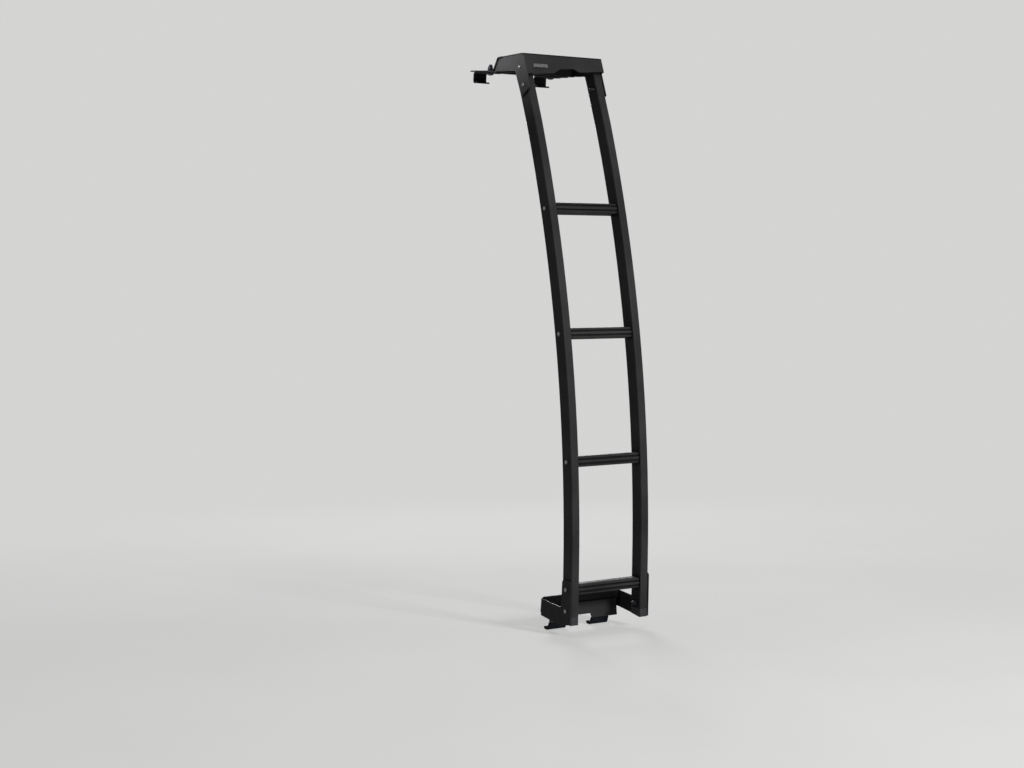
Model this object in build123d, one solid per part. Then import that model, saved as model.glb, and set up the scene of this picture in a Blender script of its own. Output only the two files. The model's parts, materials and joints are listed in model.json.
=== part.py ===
from build123d import *
import math
import os

# Ladder for a van's rear door: two bowed box rails, four fluted rungs, a folded bracket at the roof edge
# and a folded bracket with hooks at the lower door edge.
# Frame: the origin is the middle of the rubber face that bears on the door at the foot bracket.
# X is to the right seen from behind, Y is forward to the door and Z is up. Millimetres and degrees.

# Rails
LADDER_WIDTH = 250.0
RAIL_WIDTH = 25.0
RAIL_DEPTH = 40.0
RAIL_WALL = 2.0
RAIL_CORNER = 4.0
RAIL_X = (LADDER_WIDTH - RAIL_WIDTH) / 2

# Side view of a rail's centre line, from its lower end: straight foot, long bow, knee and straight top
FOOT_Y = -112.2
FOOT_Z = -16.0
FOOT_LENGTH = 117.0
FOOT_LEAN = -2.5
BOW_RADIUS = 3495.0
BOW_LEAN = 16.5
KNEE_RADIUS = 700.0
TOP_LEAN = 18.3
TOP_LENGTH = 154.8

# Moulded ends of a rail: length outside the tube, length inside it, chamfer and slant of the end
RAIL_FOOT = (18.5, 8.0, 2.5, 10.0)
RAIL_PLUG = (3.0, 12.0, 1.0, 0.0)
PLUG_GAP = 0.15

# Rungs, with the first one's distance from a rail's lower end and the distance between them along the rail
RUNG_COUNT = 4
RUNG_FIRST = 69.5
RUNG_PITCH = 328.1
RUNG_HEIGHT = 28.0
RUNG_DEPTH = 30.0
RUNG_CORNER = 6.5
RUNG_WALL = 5.2
RUNG_WEB = 8.0
FLUTE_WIDTH = 5.0
FLUTE_DEPTH = 3.2
FLUTE_ANGLE = 72.0
FLUTE_SPACING = 11.5

# Sheet and bolts: square holes through the rails for coach bolts' necks, round holes in the roof plate
SHEET = 3.0
FOLD_RADIUS = 5.0
INNER_FOLD = 3.0
NECK_HOLE = 6.6
BOLT_HOLE = 8.5

# Roof bracket, heights and forward distances in the side view
BRACKET_GAP = 3.0
BRACKET_HALF = LADDER_WIDTH / 2 + BRACKET_GAP
PLATE_FLAT = BRACKET_HALF - INNER_FOLD
BRACKET_TOP = 1435.3
BRACKET_FRONT_TOP = 160.5
BRACKET_FRONT_LOW = (182.5, 1403.15)
CHEEK_NOTCH = (86.0, 1394.5)
EAR_FRONT_OFFSET = 13.0
EAR_TIP_OFFSET = 9.0
EAR_TIP_Z = 1324.5
EAR_HEEL_Z = 1346.5
PLATE_GAP = 8.0
RIGHT_EAR_BACK = 2.5
PLATE_LOW_LEFT = 1382.5
PLATE_LOW_RIGHT = 1401.5
ARCH_WIDTH = 84.0
ARCH_HEIGHT = 11.0
ARCH_X = 5.0
TOP_BOLTS = (1402.0, 1353.0)
TOP_BOLT_OFFSET = -7.0
BOSS_RADIUS = 8.0

# Blank plate on the rear of the roof bracket
BLANK_X = -79.5
BLANK_Z = 1406.5
BLANK_WIDTH = 44.0
BLANK_HEIGHT = 9.5
BLANK_SHEET = 1.5

# Roof plate
ROOF_OVERHANG = 3.5
ROOF_LAP = 20.0
ROOF_SLOPE = 5.8
ROOF_REACH = 302.0
ROOF_CORNER = 14.0
CLAMP_X = 100.0
CLAMP_BOLT_Y = 247.0
CLAMP_WIDTH = 40.0
CLAMP_SHEET = 4.0
CLAMP_DROP = 26.0
CLAMP_LIP = 18.0
ROOF_PAD = 2.5
ROOF_PAD_INSET = 8.0

# Foot bracket, in the frame of its back plate, which leans with the door
DOOR_LEAN = 8.5
DOOR_PAD = 3.0
DOOR_PAD_HEIGHT = 40.0
BACK_TOP = 23.0
BACK_LOW = -25.2
CHEEK_TOP = 18.5
CHEEK_TOP_END = 6.0
CHEEK_LOW_END = -40.5
FOOT_EAR_TOP = 78.5
FOOT_EAR_LOW = -36.5
FOOT_BOLT_Z = -2.0

# Hooks under the lower door edge
HOOK_TOP = -2.5
HOOK_PLATE_LOW = -48.5
HOOK_PLATE_TILT = 4.0
HOOK_PLATE_ENDS = (-102.5, 117.0)
HOOK_ARCH_HEIGHT = 12.5
STRAP_TOP = -26.5
STRAP_WIDTH = 52.5
STRAP_X = {"left": -76.25, "right": 62.0}
STRAP_SET_IN = 5.5
STRAP_BEND = 4.0
HOOK_LOW = -64.5
HOOK_FRONT = 13.0
HOOK_LIP = 5.0
SLEEVE = 1.5


def lean_vector(lean):
    """Unit vector in the side view (Y, Z) that leans forward from the vertical."""
    angle = math.radians(lean)
    return Vector(math.sin(angle), math.cos(angle))


def right_of(lean):
    """Unit vector in the side view at right angles to a lean, pointing forward."""
    angle = math.radians(lean)
    return Vector(math.cos(angle), -math.sin(angle))


FOOT_START = Vector(FOOT_Y, FOOT_Z)
BOW_START = FOOT_START + lean_vector(FOOT_LEAN) * FOOT_LENGTH
BOW_CENTRE = BOW_START + right_of(FOOT_LEAN) * BOW_RADIUS
BOW_END = BOW_CENTRE - right_of(BOW_LEAN) * BOW_RADIUS
KNEE_CENTRE = BOW_END + right_of(BOW_LEAN) * KNEE_RADIUS
KNEE_END = KNEE_CENTRE - right_of(TOP_LEAN) * KNEE_RADIUS
RAIL_TOP = KNEE_END + lean_vector(TOP_LEAN) * TOP_LENGTH


def rail_at(height):
    """Forward distance and lean of a rail's centre line at a height."""
    if height < BOW_START.Y:
        lean = FOOT_LEAN
        y = FOOT_START.X + (height - FOOT_START.Y) * math.tan(math.radians(lean))
    elif height < BOW_END.Y:
        lean = math.degrees(math.asin((height - BOW_CENTRE.Y) / BOW_RADIUS))
        y = BOW_CENTRE.X - BOW_RADIUS * math.cos(math.radians(lean))
    elif height < KNEE_END.Y:
        lean = math.degrees(math.asin((height - KNEE_CENTRE.Y) / KNEE_RADIUS))
        y = KNEE_CENTRE.X - KNEE_RADIUS * math.cos(math.radians(lean))
    else:
        lean = TOP_LEAN
        y = KNEE_END.X + (height - KNEE_END.Y) * math.tan(math.radians(lean))
    return y, lean


def beside_rail(height, offset):
    """Point of the side view at a height, at a square distance forward of a rail's centre line."""
    y, lean = rail_at(height)
    return y + offset / math.cos(math.radians(lean)), height


def side_view(x):
    """Plane of the side view at x, with Y across and Z up."""
    return Plane(origin=(x, 0, 0), x_dir=(0, 1, 0), z_dir=(1, 0, 0))


def on_rail(x, height, offset):
    """Place at x, square to a rail's centre line at a height and moved forward by an offset."""
    y, lean = rail_at(height)
    return Pos(x, y, height) * Rot(-lean, 0, 0) * Pos(0, offset, 0)


def cross_hole(x, height, length, offset=0.0):
    """Square bolt hole along X through a rail, set square to the rail."""
    return on_rail(x, height, offset) * Box(length, NECK_HOLE, NECK_HOLE)


def prism(sketch, x, thickness):
    """Side-view sketch made a plate of a thickness, centred on x."""
    return extrude(side_view(x - thickness / 2) * sketch, thickness)


def height_along(distance):
    """Height on a rail's centre line at a distance along it from its lower end, on the foot or the bow."""
    if distance < FOOT_LENGTH:
        return FOOT_Z + distance * math.cos(math.radians(FOOT_LEAN))
    lean = math.radians(FOOT_LEAN) + (distance - FOOT_LENGTH) / BOW_RADIUS
    return BOW_CENTRE.Y + BOW_RADIUS * math.sin(lean)


def rung_heights():
    """Heights of the rungs, from the lowest, at equal distances along the rails."""
    return [height_along(RUNG_FIRST + RUNG_PITCH * step) for step in range(RUNG_COUNT)]


def rail_path(x):
    """Centre line of the rail at x, from its lower end."""
    foot = Line(FOOT_START, BOW_START)
    bow = JernArc(foot @ 1, foot % 1, BOW_RADIUS, FOOT_LEAN - BOW_LEAN)
    knee = JernArc(bow @ 1, bow % 1, KNEE_RADIUS, BOW_LEAN - TOP_LEAN)
    top = Line(knee @ 1, RAIL_TOP)
    return Wire((side_view(x) * (foot + bow + knee + top)).edges())


def rail_sections(path):
    """Rounded outside and plain inside of a rail, square to the start of its path."""
    plane = Plane(origin=path @ 0, x_dir=(1, 0, 0), z_dir=path % 0)
    outside = plane * RectangleRounded(RAIL_WIDTH, RAIL_DEPTH, RAIL_CORNER)
    inside = plane * Rectangle(RAIL_WIDTH - 2 * RAIL_WALL, RAIL_DEPTH - 2 * RAIL_WALL)
    return outside, inside


def make_rail(side):
    """Bowed hollow rail with its bolt holes, on the side given by a sign."""
    x = side * RAIL_X
    path = rail_path(x)
    outside, inside = rail_sections(path)
    tube = sweep(outside, path) - sweep(inside, path)
    for height in [*rung_heights(), FOOT_BOLT_Z]:
        tube -= cross_hole(x, height, RAIL_WIDTH + 2)
    for height in TOP_BOLTS:
        tube -= cross_hole(x, height, RAIL_WIDTH + 2, TOP_BOLT_OFFSET)
    return tube


def make_rail_end(side, point, lean, sizes):
    """Moulded end of a rail: a head with two chamfers on the tube's end and a plug inside it."""
    head_length, plug_length, rim_chamfer, slant = sizes
    outward = lean_vector(lean)
    origin = (side * RAIL_X, point.X, point.Y)
    plane = Plane(origin=origin, x_dir=(1, 0, 0), z_dir=(0, outward.X, outward.Y))
    head = extrude(plane * RectangleRounded(RAIL_WIDTH, RAIL_DEPTH, RAIL_CORNER), 2 * head_length)
    end = plane * Pos(0, 0, head_length) * Rot(slant, 0, 0)
    head -= end * Box(100, 100, 100, align=(Align.CENTER, Align.CENTER, Align.MIN))
    bevel = Rot(45, 0, 0) * Box(100, rim_chamfer * math.sqrt(2), rim_chamfer * math.sqrt(2))
    rim = RAIL_DEPTH / 2 / math.cos(math.radians(slant))
    for y in (-rim, rim):
        head -= end * Pos(0, y, 0) * bevel
    wall = RAIL_WALL + PLUG_GAP
    inner = Rectangle(RAIL_WIDTH - 2 * wall, RAIL_DEPTH - 2 * wall)
    return head + extrude(plane * inner, -plug_length)


def rung_outline():
    """Section of a rung: a rounded block with two flutes along each of its four sides."""
    outline = RectangleRounded(RUNG_DEPTH, RUNG_HEIGHT, RUNG_CORNER)
    flute = Trapezoid(FLUTE_WIDTH, FLUTE_DEPTH, FLUTE_ANGLE, align=(Align.CENTER, Align.MIN))
    for turn, across in ((0, RUNG_HEIGHT), (90, RUNG_DEPTH), (180, RUNG_HEIGHT), (270, RUNG_DEPTH)):
        for along in (-FLUTE_SPACING / 2, FLUTE_SPACING / 2):
            outline -= Rot(0, 0, turn) * Pos(along, -across / 2) * flute
    return outline


def rung_section():
    """Hollow section of a rung, with a thick web in the middle that takes the end screws."""
    cavity = Rectangle(RUNG_DEPTH - 2 * RUNG_WALL, RUNG_HEIGHT - 2 * RUNG_WALL)
    cavity -= Rectangle(RUNG_DEPTH, RUNG_WEB)
    return rung_outline() - cavity


def make_rung(height):
    """Rung set square to the rails at a height."""
    y, lean = rail_at(height)
    length = LADDER_WIDTH - 2 * RAIL_WIDTH
    place = side_view(-length / 2) * Pos(y, height) * Rot(0, 0, -lean)
    return extrude(place * rung_section(), length)


def folded_channel(depth, corner, half_width):
    """Tall sheet folded to a U in plan with rounded corners, open at a depth, ready to be cut."""
    line = FilletPolyline(
        (-half_width, depth),
        (-half_width, corner),
        (half_width, corner),
        (half_width, depth),
        radius=INNER_FOLD + SHEET / 2,
    )
    return extrude(trace(line, SHEET), 140, both=True)


def plate_low(x):
    """Height of the lower edge of the roof bracket's rear plate, which follows the crown of the roof."""
    share = (x + PLATE_FLAT) / (2 * PLATE_FLAT)
    return PLATE_LOW_LEFT + share * (PLATE_LOW_RIGHT - PLATE_LOW_LEFT)


def roof_outline():
    """Side-view outline of the roof bracket's cheeks and ears."""
    rear = -RAIL_DEPTH / 2 - PLATE_GAP - SHEET
    outline = Polyline(
        beside_rail(BRACKET_TOP, rear),
        (BRACKET_FRONT_TOP, BRACKET_TOP),
        BRACKET_FRONT_LOW,
        CHEEK_NOTCH,
        beside_rail(CHEEK_NOTCH[1] - 6, EAR_FRONT_OFFSET),
        beside_rail(EAR_TIP_Z, EAR_TIP_OFFSET),
        beside_rail(EAR_HEEL_Z, rear),
        close=True,
    )
    face = make_face(outline)
    front = face.vertices().sort_by_distance((BRACKET_FRONT_TOP, BRACKET_TOP, 0))[0]
    return fillet(front, FOLD_RADIUS)


def leaning_plane(offset):
    """Plane along the straight top of the rails at a square distance from their centre line, X across."""
    y, z = beside_rail(BRACKET_TOP, offset)
    up = lean_vector(TOP_LEAN)
    out = right_of(TOP_LEAN)
    return Plane(origin=(0, y, z), x_dir=(1, 0, 0), z_dir=(0, -out.X, -out.Y)), up


def roof_arch():
    """Cutter under the rear plate's inclined and arched edge; it also takes the fold off the right ear."""
    plane, up = leaning_plane(-RAIL_DEPTH / 2 - PLATE_GAP)
    right_end = BRACKET_HALF + 2 * SHEET

    def edge(x):
        return (plate_low(x) - BRACKET_TOP) / up.Y

    left = ARCH_X - ARCH_WIDTH / 2
    right = ARCH_X + ARCH_WIDTH / 2
    shoulder = ARCH_WIDTH / 4
    outline = Polyline(
        (-PLATE_FLAT, edge(-PLATE_FLAT)),
        (left, edge(left)),
        (left + shoulder, edge(left + shoulder) + ARCH_HEIGHT),
        (right - shoulder, edge(right - shoulder) + ARCH_HEIGHT),
        (right, edge(right)),
        (right_end, edge(right_end)),
        (right_end, -150),
        (-PLATE_FLAT, -150),
        close=True,
    )
    face = make_face(outline)
    corners = [v for v in face.vertices() if abs(v.X) < PLATE_FLAT - 1]
    return extrude(plane * fillet(corners, 6), PLATE_GAP + RIGHT_EAR_BACK, both=True)


def make_roof_bracket():
    """Folded roof bracket: rear plate, two cheeks and two ears, with bosses that stand it off the rails."""
    y, z = beside_rail(BRACKET_TOP, 0)
    up = lean_vector(TOP_LEAN)
    place = Plane(origin=(0, y, z), x_dir=(1, 0, 0), z_dir=(0, up.X, up.Y))
    corner = -RAIL_DEPTH / 2 - PLATE_GAP - SHEET / 2
    channel = place * folded_channel(150, corner, BRACKET_HALF + SHEET / 2)
    bracket = channel & prism(roof_outline(), 0, 2 * BRACKET_HALF + 4 * SHEET)
    bracket -= roof_arch()
    boss = Rot(0, 90, 0) * Cylinder(BOSS_RADIUS, BRACKET_GAP)
    for side in (-1, 1):
        for height in TOP_BOLTS:
            bracket += on_rail(side * (BRACKET_HALF - BRACKET_GAP / 2), height, TOP_BOLT_OFFSET) * boss
            bracket -= cross_hole(side * BRACKET_HALF, height, 4 * SHEET, TOP_BOLT_OFFSET)
    return bracket


def roof_line():
    """Side-view points of the middle of the roof plate's sheet, from the rear plate forward."""
    middle = SHEET / 2
    top = BRACKET_TOP + middle
    rear_y = beside_rail(top, -RAIL_DEPTH / 2 - PLATE_GAP - SHEET)[0]
    front_top = Vector(BRACKET_FRONT_TOP, BRACKET_TOP)
    front_low = Vector(*BRACKET_FRONT_LOW)
    slant = (front_low - front_top).normalized()
    outward = Vector(-slant.Y, slant.X) * middle
    start = front_top + outward
    corner = start + slant * ((top - start.Y) / slant.Y)
    heel = front_low + outward
    toe_z = heel.Y + (ROOF_REACH - heel.X) * math.tan(math.radians(ROOF_SLOPE))
    return [(rear_y, top), (corner.X, top), (heel.X, heel.Y), (ROOF_REACH, toe_z)]


def roof_height(y):
    """Height of the middle of the roof plate's forward sheet at a forward distance."""
    heel = roof_line()[2]
    return heel[1] + (y - heel[0]) * math.tan(math.radians(ROOF_SLOPE))


def roof_hole(x, diameter):
    """Hole square through the forward sheet at the clamp bolts."""
    place = Pos(x, CLAMP_BOLT_Y, roof_height(CLAMP_BOLT_Y)) * Rot(ROOF_SLOPE, 0, 0)
    return place * Cylinder(diameter / 2, 30)


def make_roof_plate():
    """Folded roof plate: flat top, slanted front and a forward sheet that follows the roof and is wider."""
    half = BRACKET_HALF + SHEET
    line = FilletPolyline(*roof_line(), radius=FOLD_RADIUS)
    sheet = prism(trace(line, SHEET), 0, 2 * (half + ROOF_OVERHANG))
    lap_y = BRACKET_FRONT_TOP - ROOF_LAP
    rear = Box(2 * ROOF_OVERHANG, 400, 20, align=(Align.CENTER, Align.MAX, Align.CENTER))
    for side in (-1, 1):
        sheet -= Pos(side * (half + ROOF_OVERHANG), lap_y, BRACKET_TOP) * rear
    corners = [e for e in sheet.edges().filter_by(GeomType.LINE) if e.length < SHEET + 1]
    corners.sort(key=lambda e: (e @ 0.5).Y)
    sheet = fillet(corners[:2], INNER_FOLD + SHEET)
    corners = [e for e in sheet.edges().filter_by(GeomType.LINE) if (e @ 0.5).Y > ROOF_REACH - 2]
    sheet = fillet([e for e in corners if e.length < SHEET + 1], ROOF_CORNER)
    for x in (-CLAMP_X, CLAMP_X):
        sheet -= roof_hole(x, BOLT_HOLE)
    return sheet


def make_roof_pad():
    """Rubber strip under the rear part of the forward sheet."""
    heel = roof_line()[2]
    start = heel[0] + 6
    end = CLAMP_BOLT_Y - CLAMP_WIDTH / 2 - 3
    slope = math.radians(ROOF_SLOPE)
    length = (end - start) / math.cos(slope)
    below = -(SHEET + ROOF_PAD) / 2
    middle = (start + end) / 2
    place = Pos(middle, roof_height(middle)) * Rot(0, 0, ROOF_SLOPE) * Pos(0, below)
    return prism(place * Rectangle(length, ROOF_PAD), 0, LADDER_WIDTH - 2 * ROOF_PAD_INSET)


def make_clamp(side):
    """Folded clamp under the forward sheet, with a drop and a lip under the upper door edge."""
    start = Vector(CLAMP_BOLT_Y - CLAMP_WIDTH / 2, 0)
    end = Vector(ROOF_REACH - 6, 0)
    middle = (start + end) / 2
    length = (end - start).X
    below = -(SHEET + CLAMP_SHEET) / 2
    line = FilletPolyline(
        (-length / 2, 0),
        (length / 2, 0),
        (length / 2, -CLAMP_DROP),
        (length / 2 - CLAMP_LIP, -CLAMP_DROP),
        radius=FOLD_RADIUS,
    )
    place = Pos(middle.X, roof_height(middle.X)) * Rot(0, 0, ROOF_SLOPE) * Pos(0, below)
    clamp = prism(place * trace(line, CLAMP_SHEET), side * CLAMP_X, CLAMP_WIDTH)
    return clamp - roof_hole(side * CLAMP_X, BOLT_HOLE)


def make_blank_plate():
    """Small raised plate on the rear face of the roof bracket."""
    plane, up = leaning_plane(-RAIL_DEPTH / 2 - PLATE_GAP - SHEET)
    place = plane * Pos(BLANK_X, (BLANK_Z - BRACKET_TOP) / up.Y)
    return extrude(place * RectangleRounded(BLANK_WIDTH, BLANK_HEIGHT, 2), BLANK_SHEET)


def door_frame():
    """Frame of the foot bracket's back plate: Y square to the door and Z up along it."""
    return Rot(DOOR_LEAN, 0, 0)


def to_door(y, z):
    """Side-view point in the frame of the foot bracket's back plate."""
    angle = math.radians(DOOR_LEAN)
    return y * math.cos(angle) + z * math.sin(angle), z * math.cos(angle) - y * math.sin(angle)


def foot_outline():
    """Outline of the foot bracket's cheeks and ears, in the frame of its back plate."""
    front = RAIL_DEPTH / 2
    bend = -DOOR_PAD - SHEET - INNER_FOLD
    outline = Polyline(
        (-DOOR_PAD, BACK_LOW),
        (-DOOR_PAD, CHEEK_TOP),
        (bend, CHEEK_TOP),
        to_door(*beside_rail(CHEEK_TOP_END, front + 4)),
        to_door(*beside_rail(CHEEK_TOP_END + 14, front - 1)),
        to_door(*beside_rail(FOOT_EAR_TOP, front - 3)),
        to_door(*beside_rail(FOOT_EAR_TOP, -front)),
        to_door(*beside_rail(FOOT_EAR_LOW, -front)),
        to_door(*beside_rail(CHEEK_LOW_END, front + 7)),
        (bend, BACK_LOW),
        close=True,
    )
    face = make_face(outline)
    ends = face.vertices().sort_by(Axis.Y)[-2:]
    return fillet(ends, 9)


def make_foot_bracket():
    """Folded foot bracket: back plate, two cheeks and two ears, cut from a folded channel."""
    corner = -DOOR_PAD - SHEET / 2
    channel = folded_channel(-200, corner, (LADDER_WIDTH + SHEET) / 2)
    folded = channel & prism(foot_outline(), 0, LADDER_WIDTH + 4 * SHEET)
    flat = LADDER_WIDTH - 2 * INNER_FOLD
    back = Pos(0, corner, (BACK_TOP + BACK_LOW) / 2) * Box(flat, SHEET, BACK_TOP - BACK_LOW)
    bracket = door_frame() * (folded + back)
    for side in (-1, 1):
        for height in (FOOT_BOLT_Z, rung_heights()[0]):
            bracket -= cross_hole(side * LADDER_WIDTH / 2, height, 4 * SHEET)
    return bracket


def make_door_pad():
    """Rubber strip on the front of the back plate, whose face bears on the door."""
    plane = Plane(origin=(0, 0, 0), x_dir=(1, 0, 0), z_dir=(0, 1, 0)).rotated((DOOR_LEAN, 0, 0))
    strip = plane * RectangleRounded(LADDER_WIDTH, DOOR_PAD_HEIGHT, 4)
    return extrude(strip, -DOOR_PAD)


def from_door(a, b):
    """Side-view point from the frame of the foot bracket's back plate."""
    angle = math.radians(DOOR_LEAN)
    return a * math.cos(angle) - b * math.sin(angle), a * math.sin(angle) + b * math.cos(angle)


def hook_plate_y(height):
    """Forward distance of the middle of the hook plate's sheet at a height."""
    top_y, top_z = from_door(-DOOR_PAD - SHEET * 1.5, HOOK_TOP)
    return top_y + (height - top_z) * math.tan(math.radians(HOOK_PLATE_TILT))


def strap_line(top):
    """Side-view points of the middle of a hook strap, from a height on the hook plate to its lip."""
    beside = SHEET / math.cos(math.radians(HOOK_PLATE_TILT))
    low_y = hook_plate_y(HOOK_PLATE_LOW) + beside
    return [
        (hook_plate_y(top) + beside, top),
        (low_y, HOOK_PLATE_LOW),
        (low_y + STRAP_SET_IN, HOOK_LOW),
        (HOOK_FRONT, HOOK_LOW),
        (HOOK_FRONT + 1, HOOK_LOW + HOOK_LIP),
    ]


def hook_arch():
    """Cutter for the arch in the hook plate's lower edge, between the two straps."""
    left = STRAP_X["left"] + STRAP_WIDTH / 2
    right = STRAP_X["right"] - STRAP_WIDTH / 2
    top = HOOK_PLATE_LOW + HOOK_ARCH_HEIGHT
    outline = Polyline(
        (left, HOOK_PLATE_LOW - 5),
        (left + HOOK_ARCH_HEIGHT / 2, top),
        (right - HOOK_ARCH_HEIGHT / 2, top),
        (right, HOOK_PLATE_LOW - 5),
        close=True,
    )
    return extrude(Plane.XZ * make_face(outline), 30, both=True)


def make_hook_plate():
    """Arched plate behind the back plate, with two straps on its front that hook under the door edge."""
    top = from_door(-DOOR_PAD - SHEET * 1.5, HOOK_TOP)
    sheet = trace(Line(top, (hook_plate_y(HOOK_PLATE_LOW), HOOK_PLATE_LOW)), SHEET)
    left, right = HOOK_PLATE_ENDS
    plate = prism(sheet, (left + right) / 2, right - left) - hook_arch()
    strap = trace(FilletPolyline(*strap_line(STRAP_TOP), radius=STRAP_BEND), SHEET)
    for x in STRAP_X.values():
        plate += prism(strap, x, STRAP_WIDTH)
    return plate


def make_hook_sleeve(x):
    """Rubber sleeve around the free part of one hook strap."""
    line = FilletPolyline(*strap_line(HOOK_PLATE_LOW - 0.5)[:1], *strap_line(0)[2:], radius=STRAP_BEND)
    body = prism(trace(line, SHEET + 2 * SLEEVE), x, STRAP_WIDTH + 2 * SLEEVE)
    return body - make_hook_plate()


os.makedirs("parts", exist_ok=True)
nodes = {
    "rail_left": make_rail(-1),
    "rail_right": make_rail(1),
    "roof_bracket": make_roof_bracket(),
    "roof_plate": make_roof_plate(),
    "roof_pad": make_roof_pad(),
    "blank_plate": make_blank_plate(),
    "foot_bracket": make_foot_bracket(),
    "door_pad": make_door_pad(),
    "hook_plate": make_hook_plate(),
}
for side, word in ((-1, "left"), (1, "right")):
    nodes[f"rail_foot_{word}"] = make_rail_end(side, FOOT_START, FOOT_LEAN + 180, RAIL_FOOT)
    nodes[f"rail_plug_{word}"] = make_rail_end(side, RAIL_TOP, TOP_LEAN, RAIL_PLUG)
    nodes[f"clamp_{word}"] = make_clamp(side)
    nodes[f"hook_sleeve_{word}"] = make_hook_sleeve(STRAP_X[word])
for number, height in enumerate(rung_heights(), start=1):
    nodes[f"rung_{number}"] = make_rung(height)
for name, shape in nodes.items():
    export_step(shape, f"parts/{name}.step")
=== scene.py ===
"""Dressed model of a rear door ladder: finishes for the CAD nodes, bolts, cap nuts and a plain studio."""
import json
import logging
import math
from dataclasses import dataclass
from enum import Enum
from typing import Callable, ClassVar

import bpy
from mathutils import Matrix, Vector


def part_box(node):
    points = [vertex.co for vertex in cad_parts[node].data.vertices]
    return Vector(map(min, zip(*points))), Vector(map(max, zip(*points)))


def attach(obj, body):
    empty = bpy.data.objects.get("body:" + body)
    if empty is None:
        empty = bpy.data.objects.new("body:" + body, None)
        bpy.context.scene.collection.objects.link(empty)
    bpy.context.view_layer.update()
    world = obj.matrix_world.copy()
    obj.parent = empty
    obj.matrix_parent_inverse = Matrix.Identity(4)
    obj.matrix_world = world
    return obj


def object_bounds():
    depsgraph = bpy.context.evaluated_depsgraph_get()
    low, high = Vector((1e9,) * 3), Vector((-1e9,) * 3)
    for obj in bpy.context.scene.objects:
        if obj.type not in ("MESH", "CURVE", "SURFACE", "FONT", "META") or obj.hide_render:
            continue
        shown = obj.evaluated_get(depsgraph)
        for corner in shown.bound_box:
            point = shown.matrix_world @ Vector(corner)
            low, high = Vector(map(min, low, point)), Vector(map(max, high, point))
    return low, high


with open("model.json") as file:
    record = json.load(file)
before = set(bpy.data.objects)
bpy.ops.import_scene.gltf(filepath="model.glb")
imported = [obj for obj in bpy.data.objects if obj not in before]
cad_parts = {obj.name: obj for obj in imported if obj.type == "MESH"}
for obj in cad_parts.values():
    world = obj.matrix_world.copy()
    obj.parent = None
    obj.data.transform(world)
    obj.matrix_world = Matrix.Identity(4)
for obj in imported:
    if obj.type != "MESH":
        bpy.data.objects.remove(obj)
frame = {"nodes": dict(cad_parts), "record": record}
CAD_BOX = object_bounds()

LOG = logging.getLogger("ladder")
BODY = "root"
# Name of the value on a dome's points that rises from its rim to its crown, the mask of a painted highlight
# on the crown and painted shade on the rim
CROWN = "crown"
# Sides of a round piece
SEGMENTS = 32
# Part of a face's normal along an axis from which the face counts as square to it
SQUARE = 0.9
# Distance in metres below which two heights count as the same
NEAR = 1e-6

Socket = bpy.types.NodeSocket
Colour = tuple[float, float, float]
Triple = tuple[float, float, float]
Pair = tuple[float, float]


class Side(Enum):
    """The two sides of the ladder, seen from behind, with the sign of X."""

    LEFT = -1
    RIGHT = 1

    @property
    def word(self) -> str:
        """Name of the side in lower case."""
        return self.name.lower()


class Slot(Enum):
    """Material slots of the record."""

    COAT = "black_coat"
    PLASTIC = "black_plastic"
    RUBBER = "black_rubber"
    STEEL = "dark_steel"


# Finishes

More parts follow.
